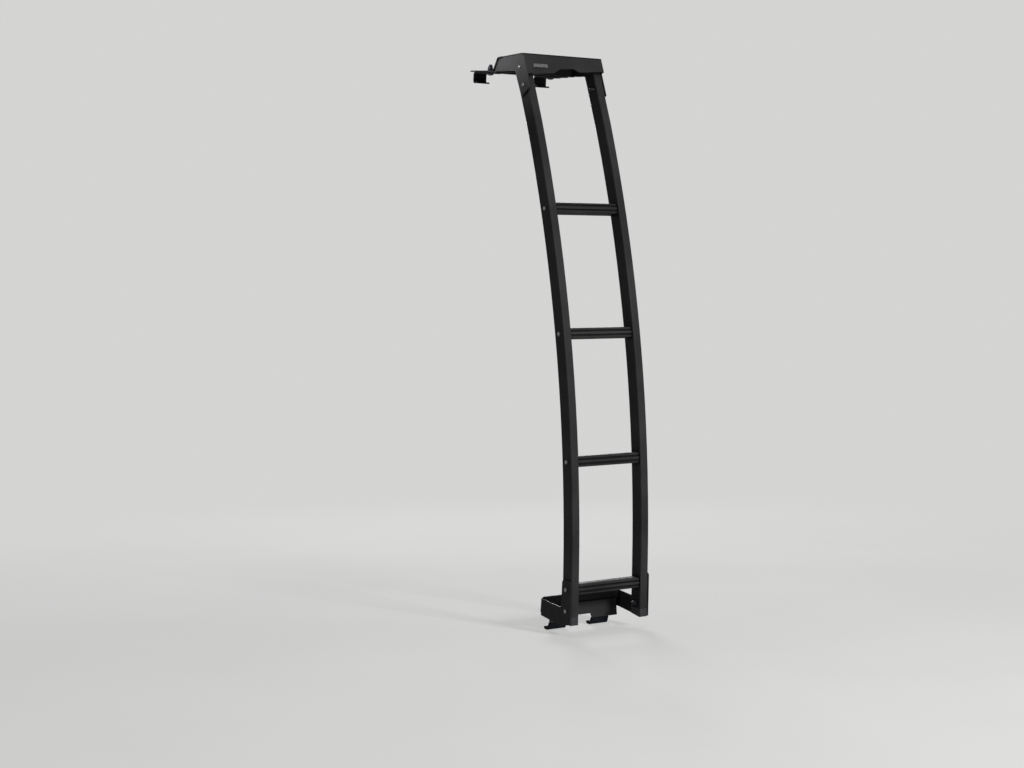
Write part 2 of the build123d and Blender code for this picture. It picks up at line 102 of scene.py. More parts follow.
class Graph:
    """Node tree of one new material or of the world, with short calls to add and join nodes."""

    NOISE_RANGE = (0.3, 0.7)
    EDGE_BEND = (0.995, 0.80)
    EDGE_SAMPLES = 6
    HOLLOW_OPEN = (0.98, 0.58)
    HOLLOW_SAMPLES = 8
    MIX_COLOURS = (6, 7)
    MIX_RESULT = 2

    def __init__(self, owner: bpy.types.Material | bpy.types.World) -> None:
        """Start an empty tree.

        Args:
            owner: New material or world.
        """
        self.owner = owner
        owner.use_nodes = True
        self.tree = owner.node_tree
        self.tree.nodes.clear()

    def add(self, kind: str, sockets: dict | None = None, **settings) -> bpy.types.Node:
        """Add a node.

        Args:
            kind: Type name of the node without its ShaderNode prefix.
            sockets: Values for named input sockets.
            **settings: Attributes of the node.

        Returns:
            The new node.
        """
        node = self.tree.nodes.new("ShaderNode" + kind)
        for key, value in settings.items():
            setattr(node, key, value)
        for key, value in (sockets or {}).items():
            node.inputs[key].default_value = value
        return node

    def link(self, source: Socket, target: Socket) -> None:
        """Join an output to an input."""
        self.tree.links.new(source, target)

    def noise(self, scale: float, detail: float = 2.0, roughness: float = 0.5) -> Socket:
        """Add a noise pattern on Object coordinates.

        Args:
            scale: Repeats per metre.
            detail: Octaves of finer noise.
            roughness: Weight of the finer octaves.

        Returns:
            The factor output.
        """
        place = self.add("TexCoord")
        noise = self.add("TexNoise", {"Scale": scale, "Detail": detail, "Roughness": roughness})
        self.link(place.outputs["Object"], noise.inputs["Vector"])
        return noise.outputs["Fac"]

    def ramp(self, value: Socket, low: float, high: float, to_low: float = 0.0,
             to_high: float = 1.0) -> Socket:
        """Map a range of values smoothly to another.

        Args:
            value: Value to map.
            low: Start of the source range.
            high: End of the source range.
            to_low: Start of the target range.
            to_high: End of the target range.

        Returns:
            The mapped value.
        """
        limits = {"From Min": low, "From Max": high, "To Min": to_low, "To Max": to_high}
        node = self.add("MapRange", limits, interpolation_type="SMOOTHSTEP")
        self.link(value, node.inputs["Value"])
        return node.outputs[0]

    def spread(self, pattern: Socket, span: Pair = (0.0, 1.0)) -> Socket:
        """Map the usual range of a noise pattern to a range of values."""
        return self.ramp(pattern, *self.NOISE_RANGE, *span)

    def times(self, first: Socket, second: Socket | float) -> Socket:
        """Multiply two values.

        Args:
            first: First factor.
            second: Second factor, a socket or a number.

        Returns:
            The product.
        """
        node = self.add("Math", operation="MULTIPLY")
        self.link(first, node.inputs[0])
        if isinstance(second, (int, float)):
            node.inputs[1].default_value = second
        else:
            self.link(second, node.inputs[1])
        return node.outputs[0]

    def mix(self, factor: Socket, first: Colour | Socket, second: Colour | Socket) -> Socket:
        """Mix two colours.

        Args:
            factor: Share of the second colour.
            first: First colour, as a socket or three numbers.
            second: Second colour, as a socket or three numbers.

        Returns:
            The mixed colour.
        """
        node = self.add("Mix", data_type="RGBA")
        self.link(factor, node.inputs[0])
        for colour, number in zip((first, second), self.MIX_COLOURS):
            if isinstance(colour, tuple):
                node.inputs[number].default_value = (*colour, 1.0)
            else:
                self.link(colour, node.inputs[number])
        return node.outputs[self.MIX_RESULT]

    def edge(self, radius: float) -> tuple[Socket, Socket]:
        """Find the outer edges of the piece by rounding its normals.

        Args:
            radius: Width of the rounding in metres.

        Returns:
            The rounded normal, and a value that is above 0 near edges.
        """
        bevel = self.add("Bevel", {"Radius": radius}, samples=self.EDGE_SAMPLES)
        plain = self.add("NewGeometry")
        dot = self.add("VectorMath", operation="DOT_PRODUCT")
        self.link(bevel.outputs[0], dot.inputs[0])
        self.link(plain.outputs["Normal"], dot.inputs[1])
        return bevel.outputs[0], self.ramp(dot.outputs["Value"], *self.EDGE_BEND)

    def hollow(self, reach: float) -> Socket:
        """Find grooves, inner corners and joints by ambient occlusion, to place painted shade.

        Args:
            reach: Distance in metres within which another surface counts.

        Returns:
            A value that is 0 on open faces and 1 deep in a groove.
        """
        node = self.add("AmbientOcclusion", {"Distance": reach}, samples=self.HOLLOW_SAMPLES)
        return self.ramp(node.outputs["AO"], *self.HOLLOW_OPEN)

    def shown(self) -> Socket:
        """Tell what is seen, straight or in gloss and glass, from what only lights the ladder.

        Returns:
            A value that is 1 for what is seen and 0 for light.
        """
        rays = self.add("LightPath")
        seen = rays.outputs["Is Camera Ray"]
        for name in ("Is Glossy Ray", "Is Transmission Ray"):
            either = self.add("Math", operation="MAXIMUM")
            self.link(seen, either.inputs[0])
            self.link(rays.outputs[name], either.inputs[1])
            seen = either.outputs[0]
        return seen

    def facing_up(self, low: float, high: float) -> Socket:
        """Value that is 1 where the surface faces up, as dust settles.

        Args:
            low: Upward part of the normal where dust starts.
            high: Upward part of the normal where it is full.

        Returns:
            The value.
        """
        plain = self.add("NewGeometry")
        parts = self.add("SeparateXYZ")
        self.link(plain.outputs["Normal"], parts.inputs[0])
        return self.ramp(parts.outputs["Z"], low, high)

    def bump(self, height: Socket, strength: float, distance: float, normal: Socket) -> Socket:
        """Turn a height into a bumped normal.

        Args:
            height: Height pattern.
            strength: Share of the bump.
            distance: Height of the pattern in metres.
            normal: Normal to start from.

        Returns:
            The bumped normal.
        """
        node = self.add("Bump", {"Strength": strength, "Distance": distance})
        self.link(height, node.inputs["Height"])
        self.link(normal, node.inputs["Normal"])
        return node.outputs[0]

    def blend(self, factor: Socket, first: bpy.types.Node, second: bpy.types.Node) -> bpy.types.Node:
        """Mix two shaders.

        Args:
            factor: Share of the second shader.
            first: First shader.
            second: Second shader.

        Returns:
            The mixed shader.
        """
        node = self.add("MixShader")
        for source, target in zip((factor, first.outputs[0], second.outputs[0]), node.inputs):
            self.link(source, target)
        return node

    def end(self, shader: bpy.types.Node, kind: str = "OutputMaterial") -> None:
        """Join the last shader to an output node."""
        self.link(shader.outputs[0], self.add(kind).inputs[0])

    def surface(self, colour: Socket, roughness: Socket, normal: Socket,
                constants: dict[str, float]) -> bpy.types.Material:
        """Finish the material with a principled shader.

        Args:
            colour: Base colour.
            roughness: Roughness.
            normal: Bumped normal.
            constants: Numbers for other sockets, by the socket's name.

        Returns:
            The finished material.
        """
        shader = self.add("BsdfPrincipled", constants)
        self.link(colour, shader.inputs["Base Color"])
        self.link(roughness, shader.inputs["Roughness"])
        self.link(normal, shader.inputs["Normal"])
        self.end(shader)
        return self.owner


@dataclass(frozen=True)
class PowderCoat:
    """Satin black powder coat with a fine orange peel, rubbed edges, a little dust on top, and painted
    shade: near-black in grooves, inner corners and gaps, and, where set, along its edges.
    """

    name: str
    colour: Colour = (0.0165, 0.0165, 0.0172)
    faded: Colour = (0.0245, 0.0245, 0.0251)
    rubbed: Colour = (0.050, 0.050, 0.052)
    dust: Colour = (0.12, 0.117, 0.112)
    dust_share: float = 0.12
    # Near-black colour of the painted shade, its share, and the reach of the occlusion that places it
    painted_shade: Colour = (0.0025, 0.0025, 0.0027)
    painted_shade_share: float = 0.9
    painted_shade_reach: float = 0.016
    edge_width: float = 0.0011
    wear: float = 0.55
    # Share of painted shade along edges, standing in for dark shadow lines at sheet edges
    edge_shade: float = 0.0
    roughness: Pair = (0.40, 0.54)
    gloss: float = 0.045

    def make(self) -> bpy.types.Material:
        """Build the material.

        Returns:
            The material.
        """
        graph = Graph(bpy.data.materials.new(self.name))
        clouds = graph.noise(scale=7.0, detail=4.0, roughness=0.55)
        colour = graph.mix(graph.ramp(clouds, low=0.35, high=0.70), self.colour, self.faded)
        rounded, edge = graph.edge(self.edge_width)
        patches = graph.ramp(graph.noise(scale=55.0, detail=3.0, roughness=0.6), low=0.42, high=0.62)
        worn = graph.times(graph.times(edge, patches), self.wear)
        colour = graph.mix(worn, colour, self.rubbed)
        # Painted shade: darken the edges towards the near-black shade colour
        if self.edge_shade:
            colour = graph.mix(graph.times(edge, self.edge_shade), colour, self.painted_shade)
        specks = graph.noise(scale=38.0, detail=4.0, roughness=0.65)
        settled = graph.ramp(specks, low=0.30, high=0.72, to_low=0.35)
        dusty = graph.times(graph.times(graph.facing_up(low=0.55, high=0.98), settled), self.dust_share)
        colour = graph.mix(dusty, colour, self.dust)
        # Painted shade: ambient occlusion darkens grooves, inner corners and gaps between parts towards
        # near-black
        painted_shade_mask = graph.times(graph.hollow(self.painted_shade_reach), self.painted_shade_share)
        colour = graph.mix(painted_shade_mask, colour, self.painted_shade)
        roughness = graph.spread(graph.noise(scale=26.0, detail=3.0), self.roughness)
        peel = graph.noise(scale=430.0, detail=1.0, roughness=0.4)
        peeled = graph.bump(peel, strength=0.22, distance=0.00012, normal=rounded)
        grain = graph.noise(scale=1900.0, roughness=0.6)
        grained = graph.bump(grain, strength=0.16, distance=0.00005, normal=peeled)
        return graph.surface(colour, roughness, grained, {"Specular IOR Level": self.gloss})


@dataclass(frozen=True)
class MouldedPlastic:
    """Matte black moulded plastic with a fine spark-eroded grain."""

    name: str
    colour: Colour = (0.0115, 0.0120, 0.0145)
    scuffed: Colour = (0.030, 0.031, 0.034)
    patch_share: float = 0.35
    edge_width: float = 0.0012
    roughness: Pair = (0.48, 0.64)
    gloss: float = 0.30

    def make(self) -> bpy.types.Material:
        """Build the material.

        Returns:
            The material.
        """
        graph = Graph(bpy.data.materials.new(self.name))
        rounded, edge = graph.edge(self.edge_width)
        scuffs = graph.ramp(graph.noise(scale=90.0, detail=5.0, roughness=0.7), low=0.50, high=0.68)
        patches = graph.ramp(graph.noise(scale=14.0, detail=3.0), low=0.35, high=0.70)
        colour = graph.mix(graph.times(patches, self.patch_share), self.colour, self.scuffed)
        colour = graph.mix(graph.times(edge, scuffs), colour, self.scuffed)
        roughness = graph.spread(graph.noise(scale=40.0, detail=3.0), self.roughness)
        grain = graph.noise(scale=2400.0, roughness=0.7)
        grained = graph.bump(grain, strength=0.35, distance=0.00006, normal=rounded)
        return graph.surface(colour, roughness, grained, {"Specular IOR Level": self.gloss})


@dataclass(frozen=True)
class Rubber:
    """Dull rubber with a faint blue cast, a bloom in patches and a coarse grain."""

    name: str
    colour: Colour = (0.0040, 0.0048, 0.0075)
    bloom: Colour = (0.0085, 0.0100, 0.0135)
    bloom_share: float = 0.7
    edge_share: float = 0.35
    edge_width: float = 0.0009
    roughness: Pair = (0.62, 0.80)
    gloss: float = 0.05

    def make(self) -> bpy.types.Material:
        """Build the material.

        Returns:
            The material.
        """
        graph = Graph(bpy.data.materials.new(self.name))
        rounded, edge = graph.edge(self.edge_width)
        patches = graph.ramp(graph.noise(scale=30.0, detail=5.0, roughness=0.65), low=0.38, high=0.72)
        colour = graph.mix(graph.times(patches, self.bloom_share), self.colour, self.bloom)
        colour = graph.mix(graph.times(edge, self.edge_share), colour, self.bloom)
        roughness = graph.spread(graph.noise(scale=60.0, detail=3.0), self.roughness)
        coarse = graph.noise(scale=520.0, detail=3.0, roughness=0.6)
        pitted = graph.bump(coarse, strength=0.30, distance=0.00012, normal=rounded)
        fine = graph.noise(scale=1800.0, roughness=0.6)
        grained = graph.bump(fine, strength=0.25, distance=0.00006, normal=pitted)
        return graph.surface(colour, roughness, grained, {"Specular IOR Level": self.gloss})


@dataclass(frozen=True)
class DarkSteel:
    """Dark passivated steel with fine brushing, dulled in patches, and, where a rim colour is set, painted
    shade on the rim of a dome and a painted highlight on its crown.
    """

    name: str
    colour: Colour
    dulled: Colour
    dulled_share: float = 0.8
    # Colour of painted shade on a dome's rim; the crown keeps the lighter colour as a painted highlight
    rim: Colour | None = None
    rubbed: Colour = (0.30, 0.30, 0.31)
    edge_share: float = 0.3
    edge_width: float = 0.0005
    brushing: Triple = (60.0, 1500.0, 1500.0)
    roughness: Pair = (0.44, 0.60)
    metallic: float = 0.9

    def make(self) -> bpy.types.Material:
        """Build the material.

        Returns:
            The material.
        """
        graph = Graph(bpy.data.materials.new(self.name))
        rounded, edge = graph.edge(self.edge_width)
        place = graph.add("TexCoord")
        stretch = graph.add("Mapping", {"Scale": self.brushing})
        lines = graph.add("TexNoise", {"Scale": 1.0, "Detail": 2.0})
        graph.link(place.outputs["Object"], stretch.inputs["Vector"])
        graph.link(stretch.outputs[0], lines.inputs["Vector"])
        patches = graph.ramp(graph.noise(scale=140.0, detail=4.0, roughness=0.6), low=0.40, high=0.70)
        colour = graph.mix(graph.times(patches, self.dulled_share), self.colour, self.dulled)
        # Painted highlight and shade: the crown value blends from the dark rim colour to the lighter colour
        if self.rim:
            crown = graph.add("Attribute", attribute_name=CROWN)
            colour = graph.mix(graph.ramp(crown.outputs["Fac"], low=0.30, high=0.92), self.rim, colour)
        colour = graph.mix(graph.times(edge, self.edge_share), colour, self.rubbed)
        roughness = graph.spread(lines.outputs["Fac"], self.roughness)
        brushed = graph.bump(lines.outputs["Fac"], strength=0.20, distance=0.00003, normal=rounded)
        return graph.surface(colour, roughness, brushed, {"Metallic": self.metallic})


class Steel(Enum):
    """Steels of the rungs' and clamps' bolt heads, with a painted highlight on the crown and painted shade
    on the rim, of the roof bracket's darker ones and of the nuts.
    """

    # Painted highlight and shade: light crown colour fading to a dark rim colour across the dome
    HEAD = DarkSteel("bolt_dark_steel", colour=(0.25, 0.25, 0.258), dulled=(0.14, 0.14, 0.144),
                     rim=(0.030, 0.030, 0.031))
    BRACKET_HEAD = DarkSteel("bracket_bolt_dark_steel", colour=(0.060, 0.060, 0.063),
                             dulled=(0.030, 0.030, 0.031))
    NUT = DarkSteel("nut_blackened_steel", colour=(0.013, 0.014, 0.019), dulled=(0.007, 0.007, 0.009))


# Modelling

def turned(degrees: float, axis: str) -> Matrix:
    """Rotation by an angle in degrees about an axis through the origin."""
    return Matrix.Rotation(math.radians(degrees), 4, axis)


class Bench:
    """Modelling calls on the object in work, as by hand in edit mode."""

    @staticmethod
    def clear() -> None:
        """Leave edit mode and deselect everything."""
        if bpy.context.object and bpy.context.object.mode == "EDIT":
            bpy.ops.object.mode_set(mode="OBJECT")
        bpy.ops.object.select_all(action="DESELECT")

    @staticmethod
    def take(piece: bpy.types.Object) -> None:
        """Select one object alone and make it active."""
        Bench.clear()
        piece.select_set(True)
        bpy.context.view_layer.objects.active = piece

    @staticmethod
    def name_new(name: str) -> bpy.types.Object:
        """Name the object that was just added and apply its place.

        Args:
            name: Name of the piece.

        Returns:
            The piece.
        """
        piece = bpy.context.object
        piece.name = name
        bpy.ops.object.transform_apply(location=True)
        return piece

    @staticmethod
    def edit(piece: bpy.types.Object) -> None:
        """Enter edit mode on one object with nothing selected."""
        Bench.take(piece)
        bpy.ops.object.mode_set(mode="EDIT")
        bpy.ops.mesh.select_mode(type="VERT")
        bpy.ops.mesh.select_all(action="DESELECT")

    @staticmethod
    def done() -> None:
        """Leave edit mode."""
        bpy.ops.object.mode_set(mode="OBJECT")

    @staticmethod
    def pick_faces(piece: bpy.types.Object, test: Callable[[bpy.types.MeshPolygon], bool]) -> None:
        """Select the faces that pass a test, from edit mode and back to it.

        Args:
            piece: Object in edit mode.
            test: Test on a face.
        """
        bpy.ops.mesh.select_mode(type="FACE")
        bpy.ops.mesh.select_all(action="DESELECT")
        bpy.ops.object.mode_set(mode="OBJECT")
        for face in piece.data.polygons:
            face.select = test(face)
        bpy.ops.object.mode_set(mode="EDIT")

    @staticmethod
    def pick_edges(piece: bpy.types.Object, test: Callable[[Vector, Vector], bool]) -> None:
        """Select the edges whose two ends pass a test, from edit mode and back to it.

        Args:
            piece: Object in edit mode.
            test: Test on the two ends of an edge.
        """
        bpy.ops.mesh.select_mode(type="EDGE")
        bpy.ops.mesh.select_all(action="DESELECT")
        bpy.ops.object.mode_set(mode="OBJECT")
        points = piece.data.vertices
        for edge in piece.data.edges:
            first, second = edge.vertices
            edge.select = test(points[first].co, points[second].co)
        bpy.ops.object.mode_set(mode="EDIT")

    @staticmethod
    def smooth(piece: bpy.types.Object, angle: float = 35.0) -> None:
        """Shade a piece smooth across angles below a limit in degrees."""
        Bench.take(piece)
        bpy.ops.object.shade_smooth_by_angle(angle=math.radians(angle))

    @staticmethod
    def copy(master: bpy.types.Object, name: str, place: Matrix) -> bpy.types.Object:
        """Copy a piece with its own mesh, put it in place and apply the place to the mesh.

        Args:
            master: Piece modelled at the origin.
            name: Name of the copy.
            place: Where the copy goes.

        Returns:
            The copy.
        """
        piece = master.copy()
        piece.data = master.data.copy()
        piece.name = name
        piece.data.name = name
        bpy.context.collection.objects.link(piece)
        piece.matrix_world = place
        Bench.take(piece)
        bpy.ops.object.transform_apply(location=True, rotation=True, scale=True)
        return piece

    @staticmethod
    def scrap(master: bpy.types.Object) -> None:
        """Remove a piece that was only modelled to be copied."""
        mesh = master.data
        bpy.data.objects.remove(master)
        bpy.data.meshes.remove(mesh)


def finish_piece(piece: bpy.types.Object, material: bpy.types.Material, slot: Slot) -> None:
    """Give a piece its material and its body, and log its slot.

    Args:
        piece: Finished piece, in place.
        material: Its material.
        slot: The record's slot.
    """
    piece.data.materials.clear()
    piece.data.materials.append(material)
    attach(piece, BODY)
    LOG.info("%s: %d faces, %s", piece.name, len(piece.data.polygons), slot.value)


# Sub-assemblies

@dataclass(frozen=True)
class RailLine:
    """Side view of a rail's centre line: straight foot, long bow, knee and straight top, in metres."""

    half_width: float = 0.1125
    rail_width: float = 0.025
    foot: Pair = (-0.1122, -0.0160)
    foot_length: float = 0.1170
    foot_lean: float = -2.5
    bow_radius: float = 3.495
    bow_lean: float = 16.5
    knee_radius: float = 0.700
    top_lean: float = 18.3

    @staticmethod
    def along(lean: float) -> Vector:
        """Unit vector of the side view up along a lean."""
        return Vector((math.sin(math.radians(lean)), math.cos(math.radians(lean))))

    @staticmethod
    def across(lean: float) -> Vector:
        """Unit vector of the side view forward of a lean."""
        return Vector((math.cos(math.radians(lean)), -math.sin(math.radians(lean))))

    def at(self, height: float) -> tuple[float, float]:
        """Find the centre line at a height.

        Args:
            height: Height in metres.

        Returns:
            The forward distance in metres and the lean in degrees.
        """
        bow_start = Vector(self.foot) + self.along(self.foot_lean) * self.foot_length
        bow_centre = bow_start + self.across(self.foot_lean) * self.bow_radius
        bow_end = bow_centre - self.across(self.bow_lean) * self.bow_radius
        knee_centre = bow_end + self.across(self.bow_lean) * self.knee_radius
        knee_end = knee_centre - self.across(self.top_lean) * self.knee_radius
        if height < bow_start.y:
            lean = self.foot_lean
            return self.foot[0] + (height - self.foot[1]) * math.tan(math.radians(lean)), lean
        if height < bow_end.y:
            turn = math.asin((height - bow_centre.y) / self.bow_radius)
            return bow_centre.x - self.bow_radius * math.cos(turn), math.degrees(turn)
        if height < knee_end.y:
            turn = math.asin((height - knee_centre.y) / self.knee_radius)
            return knee_centre.x - self.knee_radius * math.cos(turn), math.degrees(turn)
        lean = self.top_lean
        return knee_end.x + (height - knee_end.y) * math.tan(math.radians(lean)), lean

    def place(self, x: float, height: float, outward: int, spin: float = 0.0, offset: float = 0.0) -> Matrix:
        """Place a piece that was modelled upright so that it stands out of a rail's side.

        Args:
            x: Distance across of the face that the piece sits on.
            height: Height of its axis on the centre line.
            outward: Sign of X that the piece points to.
            spin: Turn about its own axis in degrees.
            offset: Square distance forward of the centre line.

        Returns:
            The place.
        """
        y, lean = self.at(height)
        tilt = turned(-lean, "X") @ Matrix.Translation((0, offset, 0))
        return Matrix.Translation((x, y, height)) @ tilt @ turned(90.0 * outward, "Y") @ turned(spin, "Z")


@dataclass(frozen=True)
class Dome:
    """Low dome on a short rim, the form of a coach bolt's head and of a cap nut's crown.

    The rounding of the edge between them is a share of the rim.
    """

    RINGS: ClassVar[int] = 48
    ROUNDING: ClassVar[float] = 0.4

    radius: float
    height: float
    rim: float

    def model(self, name: str) -> bpy.types.Object:
        """Model the dome on the plane z = 0, pointing up, with the crown's value on its points, the mask of
        a painted highlight on the crown and painted shade on the rim.

        Args:
            name: Name of the piece.

        Returns:
            The piece.
        """
        crown = self.height - self.rim
        ball = (self.radius ** 2 + crown ** 2) / (2 * crown)
        Bench.clear()
        bpy.ops.mesh.primitive_uv_sphere_add(segments=SEGMENTS, ring_count=self.RINGS, radius=ball,
                                             location=(0, 0, self.height - ball))
        piece = Bench.name_new(name)
        Bench.edit(piece)
        bpy.ops.mesh.select_all(action="SELECT")
        bpy.ops.mesh.bisect(plane_co=(0, 0, self.rim), plane_no=(0, 0, 1), use_fill=True, clear_inner=True)
        Bench.pick_faces(piece, lambda face: face.normal.z < -SQUARE)
        bpy.ops.mesh.extrude_region_move(TRANSFORM_OT_translate={"value": (0, 0, -self.rim)})
        Bench.pick_edges(piece, lambda a, b: max(abs(a.z - self.rim), abs(b.z - self.rim)) < NEAR)
        bpy.ops.mesh.bevel(offset=self.rim * self.ROUNDING, segments=3, affect="EDGES")
        Bench.done()
        # Crown value for a painted highlight on the crown and painted shade on the rim
        share = piece.data.attributes.new(CROWN, "FLOAT", "POINT")
        for point, value in zip(piece.data.vertices, share.data):
            value.value = max(0.0, (point.co.z - self.rim) / crown)
        return piece


@dataclass(frozen=True)
class CapNut:
    """Hexagon cap nut on a washer.

    The crown's radius, the corners, the chamfers and the flanks' distance are shares of the width across
    flats, the crown's rim of the crown's height, the step's width and the outer edge of the washer's radius,
    and the step's rise and the rounding of the washer's thickness.
    """

    CROWN_RADIUS: ClassVar[float] = 0.475
    CROWN_RIM: ClassVar[float] = 0.35
    CORNER: ClassVar[float] = 0.07
    CHAMFER: ClassVar[float] = 0.015
    FLANK: ClassVar[float] = 0.49
    STEP_WIDTH: ClassVar[float] = 0.10
    STEP_RISE: ClassVar[float] = 0.06
    OUTER_EDGE: ClassVar[float] = 0.999
    ROUNDING: ClassVar[float] = 0.25

    across_flats: float
    height: float
    hexagon: float
    washer_radius: float
    washer: float

    def model(self, name: str) -> bpy.types.Object:
        """Model the nut and its washer on the plane z = 0, pointing up.

        Args:
            name: Name of the piece.

        Returns:
            The piece.
        """
        plate = self.model_washer(name + "_washer")
        rise = self.height - self.hexagon
        crown = Dome(radius=self.across_flats * self.CROWN_RADIUS, height=rise, rim=rise * self.CROWN_RIM)
        cap = crown.model(name + "_crown")
        cap.location.z = self.washer + self.hexagon
        Bench.take(cap)
        bpy.ops.object.transform_apply(location=True)
        piece = self.model_hexagon(name)
        plate.select_set(True)
        cap.select_set(True)
        bpy.ops.object.join()
        return piece

    def model_washer(self, name: str) -> bpy.types.Object:
        """Model the washer, with rounded rims and a shallow step at the nut.

        Args:
            name: Name of the piece.

        Returns:
            The washer.
        """
        Bench.clear()
        bpy.ops.mesh.primitive_cylinder_add(vertices=SEGMENTS, radius=self.washer_radius, depth=self.washer,
                                            location=(0, 0, self.washer / 2))
        piece = Bench.name_new(name)
        Bench.edit(piece)
        Bench.pick_faces(piece, lambda face: face.normal.z > SQUARE)
        bpy.ops.mesh.inset(thickness=self.washer_radius * self.STEP_WIDTH)
        rise = self.washer * self.STEP_RISE
        bpy.ops.mesh.extrude_region_move(TRANSFORM_OT_translate={"value": (0, 0, rise)})
        outside = self.washer_radius * self.OUTER_EDGE
        Bench.pick_edges(piece, lambda a, b: self.is_level_edge(a, b, outside))
        bpy.ops.mesh.bevel(offset=self.washer * self.ROUNDING, segments=2, affect="EDGES")
        Bench.done()
        return piece

    def model_hexagon(self, name: str) -> bpy.types.Object:
        """Model the hexagon, with its corners turned off at both ends.

        Args:
            name: Name of the piece.

        Returns:
            The hexagon, selected and active.
        """
        Bench.clear()
        radius = self.across_flats / math.sqrt(3)
        bpy.ops.mesh.primitive_cylinder_add(vertices=6, radius=radius, depth=self.hexagon,
                                            location=(0, 0, self.washer + self.hexagon / 2))
        piece = Bench.name_new(name)
        Bench.edit(piece)
        bpy.ops.mesh.select_all(action="SELECT")
        bpy.ops.mesh.bevel(offset=self.across_flats * self.CORNER, segments=3, affect="VERTICES")
        outside = self.across_flats * self.FLANK
        Bench.pick_edges(piece, lambda a, b: self.is_level_edge(a, b, outside))
        bpy.ops.mesh.bevel(offset=self.across_flats * self.CHAMFER, segments=2, affect="EDGES")
        Bench.done()
        Bench.take(piece)
        return piece

    @staticmethod
    def is_level_edge(first: Vector, second: Vector, outside: float) -> bool:
        """Tell whether an edge lies level and both its ends beyond a distance from the axis."""
        return abs(first.z - second.z) < NEAR and min(first.xy.length, second.xy.length) > outside


class Fasteners:
    """Bolt heads and nuts of a sub-assembly, each form modelled once and copied to its places."""

    def build(self) -> list[bpy.types.Object]:
        """Model the pieces and put them in place, as each sub-assembly does in its own way."""
        raise NotImplementedError

    @staticmethod
    def steel_of(name: str) -> Steel:
        """Choose the steel of a piece.

        Args:
            name: Name of the piece.

        Returns:
            The steel.
        """
        if "_nut_" in name:
            return Steel.NUT
        return Steel.BRACKET_HEAD if name.startswith("roof_") else Steel.HEAD

    def dress(self, steels: dict[Steel, bpy.types.Material]) -> None:
        """Build the pieces and give each its steel and its body.

        Args:
            steels: Material of each steel.
        """
        for piece in self.build():
            finish_piece(piece, steels[self.steel_of(piece.name)], Slot.STEEL)


@dataclass(frozen=True)
class RailBolts(Fasteners):
    """Coach bolts through the rails, with cap nuts on the inner faces at the two brackets."""

    line: RailLine
    rung_heights: tuple[float, ...] = (0.05343, 0.38141, 0.70825, 1.03108)
    foot_height: float = -0.002
    roof_heights: Pair = (1.4020, 1.3530)
    roof_offset: float = -0.007
    roof_gap: float = 0.003
    sheet: float = 0.003
    nut_spin: float = 17.0
    nut_spin_step: float = 23.0
    head: Dome = Dome(radius=0.0070, height=0.0034, rim=0.0010)
    nut: CapNut = CapNut(across_flats=0.010, height=0.012, hexagon=0.0052, washer_radius=0.0062,
                         washer=0.0012)

    def build(self) -> list[bpy.types.Object]:
        """Model one head and one nut and copy them to every bolt.

        Returns:
            The bolt heads and nuts.
        """
        head = self.head.model("coach_head_master")
        Bench.smooth(head)
        nut = self.nut.model("cap_nut_master")
        Bench.smooth(nut)
        pieces = []
        for side in Side:
            pieces += self.build_side(side, head, nut)
        Bench.scrap(head)
        Bench.scrap(nut)
        return pieces

    def build_side(self, side: Side, head: bpy.types.Object,
                   nut: bpy.types.Object) -> list[bpy.types.Object]:
        """Copy the heads and nuts to one rail.

        Args:
            side: Side of the ladder.
            head: Head modelled at the origin.
            nut: Nut modelled at the origin.

        Returns:
            The pieces of this side.
        """
        outer = side.value * (self.line.half_width + self.line.rail_width / 2)
        inner = side.value * (self.line.half_width - self.line.rail_width / 2)
        ear = outer + side.value * self.sheet
        pieces = []
        for number, height in enumerate(self.rung_heights, start=1):
            face = ear if number == 1 else outer
            place = self.line.place(face, height, side.value)
            pieces.append(Bench.copy(head, f"rung_bolt_{side.word}_{number}", place))
        upper, lower = self.roof_heights
        named = {"foot": self.foot_height, "roof_upper": upper, "roof_lower": lower}
        for turn, (name, height) in enumerate(named.items()):
            at_roof = height in self.roof_heights
            offset = self.roof_offset if at_roof else 0.0
            face = ear + side.value * self.roof_gap if at_roof else ear
            place = self.line.place(face, height, side.value, offset=offset)
            pieces.append(Bench.copy(head, f"{name}_bolt_{side.word}", place))
            spin = self.nut_spin + self.nut_spin_step * turn
            place = self.line.place(inner, height, -side.value, spin, offset)
            pieces.append(Bench.copy(nut, f"{name}_nut_{side.word}", place))
        return pieces


